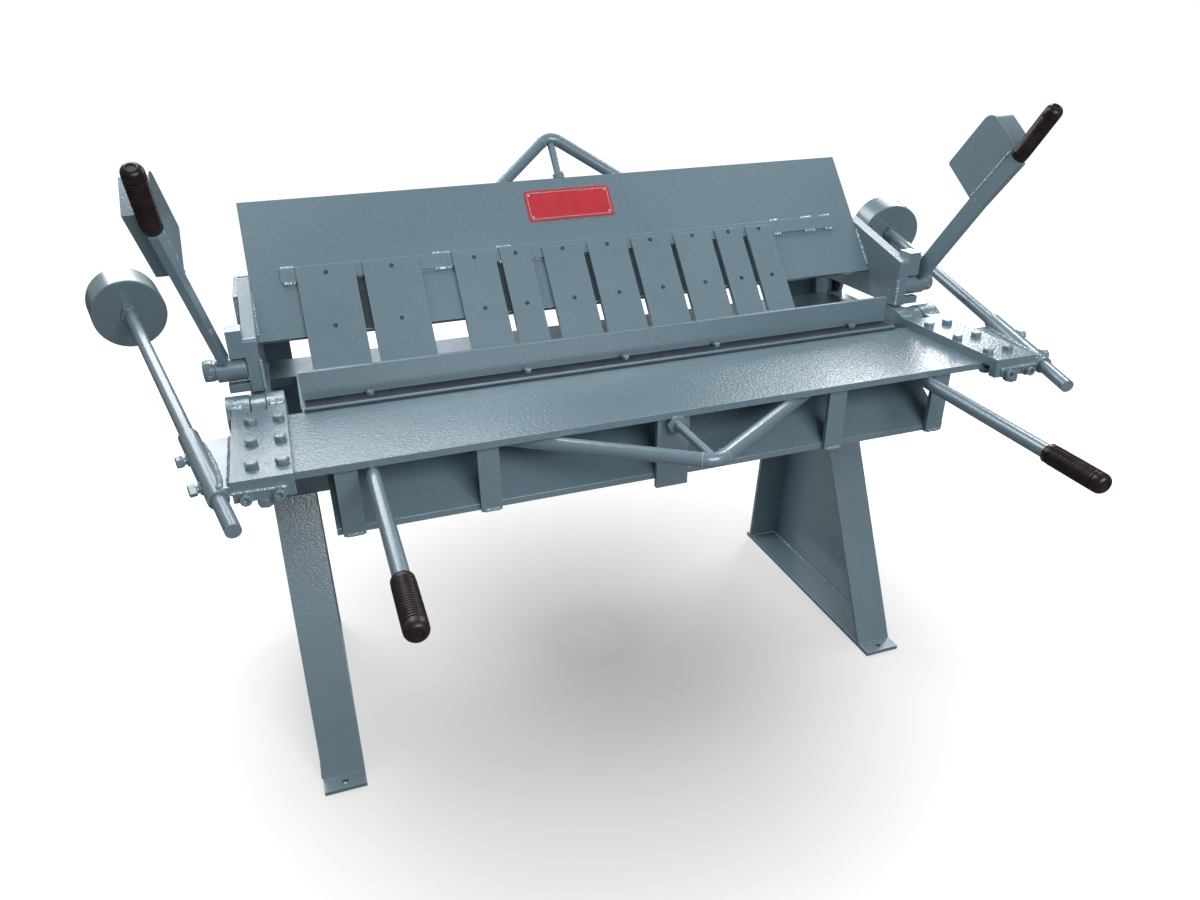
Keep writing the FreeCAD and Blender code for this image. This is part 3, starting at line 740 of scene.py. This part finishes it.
# %% Clamp collars
hub_end = 0.784
collar_middle = 0.012
collar_outline = [(0, 0.0025), (0.0185, 0.0025), (0.0202, 0.0040), (0.0202, 0.0195), (0.0188, 0.0213),
                  (0.0128, 0.0213), (0.0122, 0.0222), (0, 0.0222)]
pinch_screw_turns = (55, 200)
pinch_screw_size = (0.0042, 0.0022, 0.0018)
for sign, hand in both_sides:
    pivot = Vector(joints["clamp_turn_" + hand]["pos_m"])
    mesh = bmesh.new()
    spin(mesh, collar_outline, along((sign, 0, 0), Vector((sign * hub_end, pivot.y, pivot.z))), sides=40)
    for turn in pinch_screw_turns:
        way = Vector((0, math.cos(math.radians(turn)), math.sin(math.radians(turn))))
        middle = Vector((sign * (hub_end + collar_middle), pivot.y, pivot.z))
        socket_screw(mesh, middle + way * 0.0190, way, *pinch_screw_size)
    add_piece("shaft_collar_" + hand, mesh, leaf_paint, "clamp_handle_" + hand)
print("collars at x", hub_end, "on both sides")

# %% [markdown]
# ## Weld beads
# The machine is welded from plate, so its inner corners are filled with beads: a row of overlapping
# ripples, each a few millimetres long. A bead is a tube along a line whose radius rises and falls with
# every ripple and wanders a little. Seeded random numbers keep it the same at every run. The paint on it
# is glossier than on the plates, and paler: a painted highlight for the glints on the beads.

# %% Weld bead helper
ripple = 0.0045
ripple_steps = 3
bead_sides = 8
ring_pieces = 12
wander = random.Random(11)


def bead(mesh, start, end, radius):
    """A rippled bead from start to end, its ends rounded off."""
    start = Vector(start)
    end = Vector(end)
    length = (end - start).length
    place = along(end - start, start)
    count = max(2, round(length / ripple))
    rings = []
    for k in range(count * ripple_steps + 1):
        share = k / (count * ripple_steps)
        ridge = 0.96 + 0.34 * abs(math.sin(math.pi * (k % ripple_steps) / ripple_steps + 0.35))
        taper = min(1.0, 0.35 + 4.0 * min(share, 1 - share) * count / 3)
        size = radius * ridge * taper * wander.uniform(0.93, 1.07)
        shift = Vector((wander.uniform(-0.1, 0.1) * radius, wander.uniform(-0.1, 0.1) * radius,
                        share * length))
        rings.append([mesh.verts.new(place @ (shift + turned(size, 2 * math.pi * n / bead_sides)))
                      for n in range(bead_sides)])
    closed_bar(mesh, rings)


def ring_bead(mesh, centre, direction, ring_radius, radius):
    """A bead around a rod, as short straight beads."""
    place = along(direction, centre)
    corners = [place @ turned(ring_radius, math.radians(360 * k / ring_pieces))
               for k in range(ring_pieces + 1)]
    for first, second in zip(corners, corners[1:]):
        bead(mesh, first, second, radius)


# The beads' paler colour is a painted highlight for their glints.
bead_highlight_colour = (0.190, 0.268, 0.312)
bead_paint = hammered_paint("bead_paint", bead_highlight_colour, depth=0.00006, gloss=0.18)
print("ripples of", ripple, "m")

# %% [markdown]
# ## Beads on the leaf's ends
# At each end a bead runs along the lip, across both knuckles, and along both sides of the
# three-cornered plate that carries the weight's tube. The tube slants, so the line where it meets the
# plate is worked out at a few places and followed by short beads.

# %% Leaf end beads
gusset_top = leaf_high.z + 0.010
knuckle_radius = 0.042
knuckle_foot = bend_line.y - math.sqrt(knuckle_radius ** 2 - (end_top - bend_line.z) ** 2)
seam_places = (0.004, 0.020, 0.045, 0.085, 0.135, 0.190)


def tube_seam(front, way, sign):
    """Points along the line where the weight's tube meets the plate that carries it."""
    seam = []
    for back in seam_places:
        middle = front + way * (back / way.y)
        drop = min(arm_tube_radius, abs(gusset_top - middle.z))
        beside = math.sqrt(arm_tube_radius ** 2 - drop ** 2)
        seam.append(Vector((middle.x - sign * beside, middle.y, gusset_top)))
    return seam


for sign, hand in both_sides:
    end_low, end_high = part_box("leaf_end_" + hand)
    inner, outer = sorted((abs(end_low.x), abs(end_high.x)))
    front, way = arm_lines[hand]
    mesh = bmesh.new()
    bead(mesh, (sign * (inner + 0.010), end_low.y, leaf_high.z - 0.002),
         (sign * (outer - 0.006), end_low.y, leaf_high.z - 0.001), radius=0.0032)
    for x0, x1 in ((inner + 0.002, inner + 0.030), (outer - 0.030, outer - 0.002)):
        bead(mesh, (sign * x0, knuckle_foot, end_top), (sign * x1, knuckle_foot, end_top), radius=0.003)
    edge = sign * leaf_high.x
    bead(mesh, (edge, front.y + 0.010, gusset_top), (edge, front.y + 0.196, gusset_top), radius=0.0050)
    seam = tube_seam(front, way, sign)
    for first, second in zip(seam, seam[1:]):
        bead(mesh, first, second, radius=0.0042)
    add_piece("end_beads_" + hand, mesh, bead_paint, "bending_leaf")
print("lip bead at y", round(end_low.y, 4))

# %% [markdown]
# ## Beads under the leaf
# There are dabs at the feet and heads of the ribs, beads beside the handles' tubes and at the truss rod's
# ends, and thin rings either side of the rod's bend. The truss rod behind the clamping plate is welded on
# in the same way, so a helper makes the beads at a rod's end for both.

# %% Beads under the leaf
rib_foot_z = leaf_low.z - 0.1305
rib_half = 0.019
rib_middles = (0.591, 0.350)
handle_x = 0.548
tube_side = 0.0125


def truss_end_beads(mesh, end, corner, plate_side, reach):
    """A bead on both sides of a truss rod, from near its end, on the side where it touches its plate."""
    run = (corner - end).normalized()
    for lean in (-1, 1):
        aside = run.cross(plate_side) * lean * truss_radius * 0.9 + plate_side * truss_radius * 0.9
        bead(mesh, end + run * 0.01 + aside, end + run * reach + aside, radius=0.003)


def truss_bend_rings(mesh, path):
    """A thin ring either side of a truss rod's bend."""
    for point, way in (path[1], path[-2]):
        ring_bead(mesh, point, way, truss_radius, radius=0.0013)


mesh = bmesh.new()
for sign, hand in both_sides:
    for x in rib_middles:
        for height, short, radius in ((rib_foot_z + 0.003, 0.003, 0.0034), (leaf_low.z, 0.002, 0.0028)):
            bead(mesh, (sign * x - rib_half + short, web_front, height),
                 (sign * x + rib_half - short, web_front, height), radius)
    for offset in (-tube_side, tube_side):
        bead(mesh, (sign * handle_x + offset, leaf_low.y + 0.012, leaf_low.z - 0.001),
             (sign * handle_x + offset, leaf_low.y + 0.105, leaf_low.z - 0.001), radius=0.0032)
    truss_end_beads(mesh, leaf_truss[1 + sign], leaf_truss[1], up, 0.10)
bead(mesh, (-0.030, web_front, leaf_low.z - 0.001), (0.030, web_front, leaf_low.z - 0.001), radius=0.0035)
truss_bend_rings(mesh, truss_paths["leaf_truss_rod"])
add_piece("leaf_beads", mesh, bead_paint, "bending_leaf")
print("rib feet at z", round(rib_foot_z, 4))

# %% [markdown]
# ## Beads on the clamping leaf
# The plate is welded into its two end plates, the finger rail is tacked to the plate with short dabs,
# and the truss rod's ends are welded on behind. Each end plate has a short bead up its front edge.

# %% Clamping leaf beads
rail_low = 0.118
rail_high = 0.150
tack_radius = 0.0044
tacks = ((-0.640, -0.611), (-0.330, -0.290), (-0.190, -0.155), (0.476, 0.500), (0.560, 0.590), (0.615, 0.640))
plate_end_front = -0.161
plate_end_foot = bend_line.z + 0.034
plate_end_run = 0.062
mesh = bmesh.new()
for left, right in tacks:
    for height in (rail_low - 0.0005, rail_high + 0.0005):
        bead(mesh, on_plate(left, height, 0.001), on_plate(right, height, 0.001), tack_radius)
for sign, hand in both_sides:
    inner = sign * plate_high.x
    for out, head in ((0.001, 0.110), (-plate_thick, 0.135)):
        bead(mesh, on_plate(inner, 0.012, out), on_plate(inner, head, out), radius=0.0036)
    bead(mesh, (inner, plate_end_front, plate_end_foot),
         (inner, plate_end_front, plate_end_foot + plate_end_run), radius=0.0030)
    truss_end_beads(mesh, plate_truss[1 + sign], plate_truss[1], plate_out, 0.12)
truss_bend_rings(mesh, truss_paths["top_truss_rod"])
add_piece("clamping_beads", mesh, bead_paint, "clamping_leaf")
print(len(tacks) * 2, "rail tacks")

# %% [markdown]
# ## A blank enamel plate
# A small red enamel plate sits high in the middle of the clamping plate. It is left blank. It could be a
# box, but its corners are round, so it is drawn as a rectangle with rounded corners, given up the leaning
# plate, and a slightly smaller outline on top gives it a soft edge.

# %% Enamel plate
enamel_middle = (0.0, 0.2435)
enamel_size = (0.200, 0.075)
enamel_thick = 0.0012
enamel_corner = 0.006
red_enamel, red_shader = new_finish("red_enamel", (0.42, 0.022, 0.035), 0.0, 0.30)
red_place = add_node(red_enamel, "ShaderNodeTexCoord").outputs["Object"]
red_body = mix_colours(red_enamel, noise(red_enamel, red_place, 35.0, 4.0), (0.36, 0.016, 0.028),
                       (0.50, 0.030, 0.046))
feed(red_enamel, red_shader, {"Base Color": red_body, "Coat Weight": 0.5})


def rounded_outline(smaller, radius, steps=6):
    """Points around the enamel plate, made smaller by a length, with corners of this radius, in order."""
    width, depth = (length - smaller for length in enamel_size)
    points = []
    for k, (x, y) in enumerate(((1, 1), (-1, 1), (-1, -1), (1, -1))):
        for step in range(steps + 1):
            turn = math.radians(90 * k + 90 * step / steps)
            points.append((x * (width / 2 - radius) + radius * math.cos(turn),
                           y * (depth / 2 - radius) + radius * math.sin(turn)))
    return points


def enamel_rings(mesh, levels):
    """The outlines as rings of points, each at its height off the clamping plate."""
    return [[mesh.verts.new(on_plate(enamel_middle[0] + x, enamel_middle[1] + y, out)) for x, y in outline]
            for outline, out in levels]


soft_edge = 0.0003
rim = rounded_outline(0.0, enamel_corner)
top = rounded_outline(2 * soft_edge, enamel_corner - soft_edge)
mesh = bmesh.new()
closed_bar(mesh, enamel_rings(mesh, (
    (rim, 0.0002), (rim, enamel_thick - soft_edge), (top, enamel_thick))))
add_piece("enamel_plate", mesh, red_enamel, "clamping_leaf", smooth_angle=30)
print("enamel plate", enamel_size, "m")

# %% [markdown]
# ## Border and rivets of the enamel plate
# A pale raised border runs around the plate and four rivets hold it. Two outlines make both edges of the
# border, and the walls run around from the outer foot over the top to the inner foot.

# %% Enamel border
border_metal = ground_steel("border_metal", (0.62, 0.60, 0.58), "X", 0.30)
border_inset = 0.0050
border_width = 0.0016
border_corner = 0.004
border_foot = enamel_thick - 0.0002
border_top = enamel_thick + 0.0004
rivet_inset = 0.0105
rivet_outline = [(0, -0.0006), (0.0024, -0.0006), (0.0024, 0.0002), (0.0020, 0.0008), (0.0011, 0.0012),
                 (0, 0.0013)]
outer = rounded_outline(2 * border_inset, border_corner)
inner = rounded_outline(2 * (border_inset + border_width), border_corner - border_width)
mesh = bmesh.new()
rings = enamel_rings(mesh, (
    (outer, border_foot), (outer, border_top), (inner, border_top), (inner, border_foot)))
join_rings(mesh, rings + rings[:1])
for x in (-1, 1):
    for y in (-1, 1):
        spot = on_plate(enamel_middle[0] + x * (enamel_size[0] / 2 - rivet_inset),
                        enamel_middle[1] + y * (enamel_size[1] / 2 - rivet_inset), enamel_thick)
        spin(mesh, rivet_outline, along(plate_out, spot), sides=16)
add_piece("enamel_border", mesh, border_metal, "clamping_leaf", smooth_angle=30)
print("border", border_width, "m wide, and four rivets")

# %% [markdown]
# ## Beads on the clamp handles
# The plate-like weight is welded along both edges of its bar. The bar bends at a knee above the shaft and
# its upper run carries the weight and the grip. Both ends of that run are given from the shaft's middle,
# so that one pair of numbers, mirrored, serves both sides.

# %% Clamp handle beads
bar_width = 0.038
bar_thick = 0.014
block_inset = 0.0015
knee_from_shaft = Vector((0.038, -0.131, 0.206))
top_from_shaft = Vector((0.052, -0.200, 0.301))
block_low = -0.008
block_high = 0.118
for sign, hand in both_sides:
    pivot = Vector(joints["clamp_turn_" + hand]["pos_m"])
    aside = Vector((sign, 1, 1))
    knee = pivot + knee_from_shaft * aside
    run = (pivot + top_from_shaft * aside - knee).normalized()
    behind = Vector((0, run.z, -run.y)).normalized()
    mesh = bmesh.new()
    for offset in (bar_thick / 2, block_inset - bar_thick / 2):
        edge = knee + behind * (bar_width / 2 - 0.0005) + Vector((sign * offset, 0, 0))
        bead(mesh, edge + run * block_low, edge + run * block_high, radius=0.0030)
    add_piece("block_beads_" + hand, mesh, bead_paint, "clamp_handle_" + hand)
print("bar knee at", [round(v, 4) for v in knee])

# %% [markdown]
# ## Beads on the frame
# Each stand is a bent channel on a foot plate. Beads run along its foot: inside along the web and along
# both flanges, and outside along the web.

# %% Frame beads
foot_top = 0.010
stand_web = 0.010
mesh = bmesh.new()
for sign, hand in both_sides:
    low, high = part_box("stand_" + hand)
    inner, outer = sorted((abs(low.x), abs(high.x)))
    inner += 0.004
    web = outer - stand_web
    for x0, y0, x1, y1, radius in ((web, -0.270, web, 0.300, 0.004), (inner, -0.278, web, -0.278, 0.004),
                                   (inner, 0.302, web, 0.302, 0.004), (outer, -0.284, outer, 0.308, 0.003)):
        bead(mesh, (sign * x0, y0, foot_top), (sign * x1, y1, foot_top), radius)
add_piece("frame_beads", mesh, bead_paint, "frame")
print("foot beads at z", foot_top)

# %% [markdown]
# ## Floor and backdrop
# The ground is a sheet that runs out of sight, with a soft shadow under the machine, partly cast by the
# lamps and partly painted. A lit sheet alone turns grey towards the horizon, so where the camera sees it,
# a white glow is added that grows from nothing under the machine to plain white a metre and a half away;
# where the glow is weak the floor is darker, a painted shadow. For the machine's own light the sheet is
# a darker grey without the glow, so that no extra light falls on the paint from below.

# %% Floor
floor_white_from = 0.10
floor_white_to = 1.50
floor_size = 40.0
floor_seen = (0.40, 0.40, 0.40)
floor_grey = (0.22, 0.22, 0.22)
floor_finish, sheet = new_finish("floor", floor_grey, 0.0, 1.0)
seen = add_node(floor_finish, "ShaderNodeLightPath").outputs["Is Camera Ray"]
feed(floor_finish, sheet, {
    "Base Color": mix_colours(floor_finish, seen, floor_grey, floor_seen), "Specular IOR Level": 0.0})
where = add_node(floor_finish, "ShaderNodeTexCoord").outputs["Object"]
far = add_node(floor_finish, "ShaderNodeVectorMath", {0: where}, operation="LENGTH").outputs["Value"]
# The glow fades to nothing near the machine, so the floor there is darker: a painted shadow besides the lamps'
# own.
glow = add_node(floor_finish, "ShaderNodeEmission", {
    "Strength": spread(floor_finish, far, floor_white_from, floor_white_to)})
sheet_and_glow = add_node(floor_finish, "ShaderNodeAddShader", {0: sheet.outputs[0], 1: glow.outputs[0]})
choice = add_node(floor_finish, "ShaderNodeMixShader", {0: seen, 1: sheet.outputs[0], 2: sheet_and_glow.outputs[0]})
feed(floor_finish, floor_finish.node_tree.nodes["Material Output"], {"Surface": choice.outputs[0]})
mesh = bmesh.new()
bmesh.ops.create_grid(mesh, x_segments=1, y_segments=1, size=floor_size)
floor_data = bpy.data.meshes.new("floor")
mesh.to_mesh(floor_data)
mesh.free()
floor_data.materials.append(floor_finish)
floor = bpy.data.objects.new("floor", floor_data)
bpy.context.scene.collection.objects.link(floor)
print("floor is plain white from", floor_white_to, "m out")

# %% [markdown]
# ## The room
# Around the floor stands an even studio. The camera sees it as plain white; the light that it sheds on
# the machine is much weaker, so that the lamps still model the shapes and draw bright lines on the rods.

# %% World
room_light = 0.28
world = bpy.data.worlds.new("studio")
bpy.context.scene.world = world
world.use_nodes = True
room = world.node_tree.nodes["Background"]
feed(world, room, {"Color": (1, 1, 1, 1), "Strength": room_light})
white = add_node(world, "ShaderNodeBackground", {"Color": (1, 1, 1, 1)})
seen = add_node(world, "ShaderNodeLightPath").outputs["Is Camera Ray"]
choice = add_node(world, "ShaderNodeMixShader", {0: seen, 1: room.outputs[0], 2: white.outputs[0]})
feed(world, world.node_tree.nodes["World Output"], {"Surface": choice.outputs[0]})
print("room light", room_light)

# %% [markdown]
# ## Lamps
# Six soft lamps do the work. One stands behind the photographer and lights what faces the front. Two hang
# high behind the machine's ends, for the bright lines on the round rods and tubes. Three stand low behind
# the machine, and the level surfaces mirror them, so the end plates and upper edges shine and the leaf
# is bright on the left and dark in the middle. None hangs where the leaning clamping plate would mirror it.

# %% Lamps
def soft_lamp(name, place, target, size, power):
    """A rectangular lamp at a place, facing a target. Size is in metres, power in watts."""
    data = bpy.data.lights.new(name, "AREA")
    data.shape = "RECTANGLE"
    data.size, data.size_y = size
    data.energy = power
    lamp = bpy.data.objects.new(name, data)
    lamp.matrix_world = along(Vector(place) - Vector(target), place)
    bpy.context.scene.collection.objects.link(lamp)


machine_middle = (0, 0, 0.85)
leaf_right = (0.6, -0.3, 0.87)
lamps = (("front", (0.5, -3.3, 2.6), machine_middle, (2.4, 1.6), 104),
         ("above", (-1.0, 0.8, 3.2), machine_middle, (0.9, 1.6), 44),
         ("behind_left", (-0.75, 2.7, 2.5), machine_middle, (2.6, 1.4), 46),
         ("behind_right", (2.7, 2.7, 2.4), machine_middle, (1.3, 1.2), 15),
         ("right_high", (1.9, 0.9, 2.9), leaf_right, (0.8, 1.0), 24),
         ("right_low", (2.7, 2.2, 1.7), leaf_right, (0.8, 0.8), 11))
for lamp in lamps:
    soft_lamp(*lamp)
print(len(lamps), "lamps")
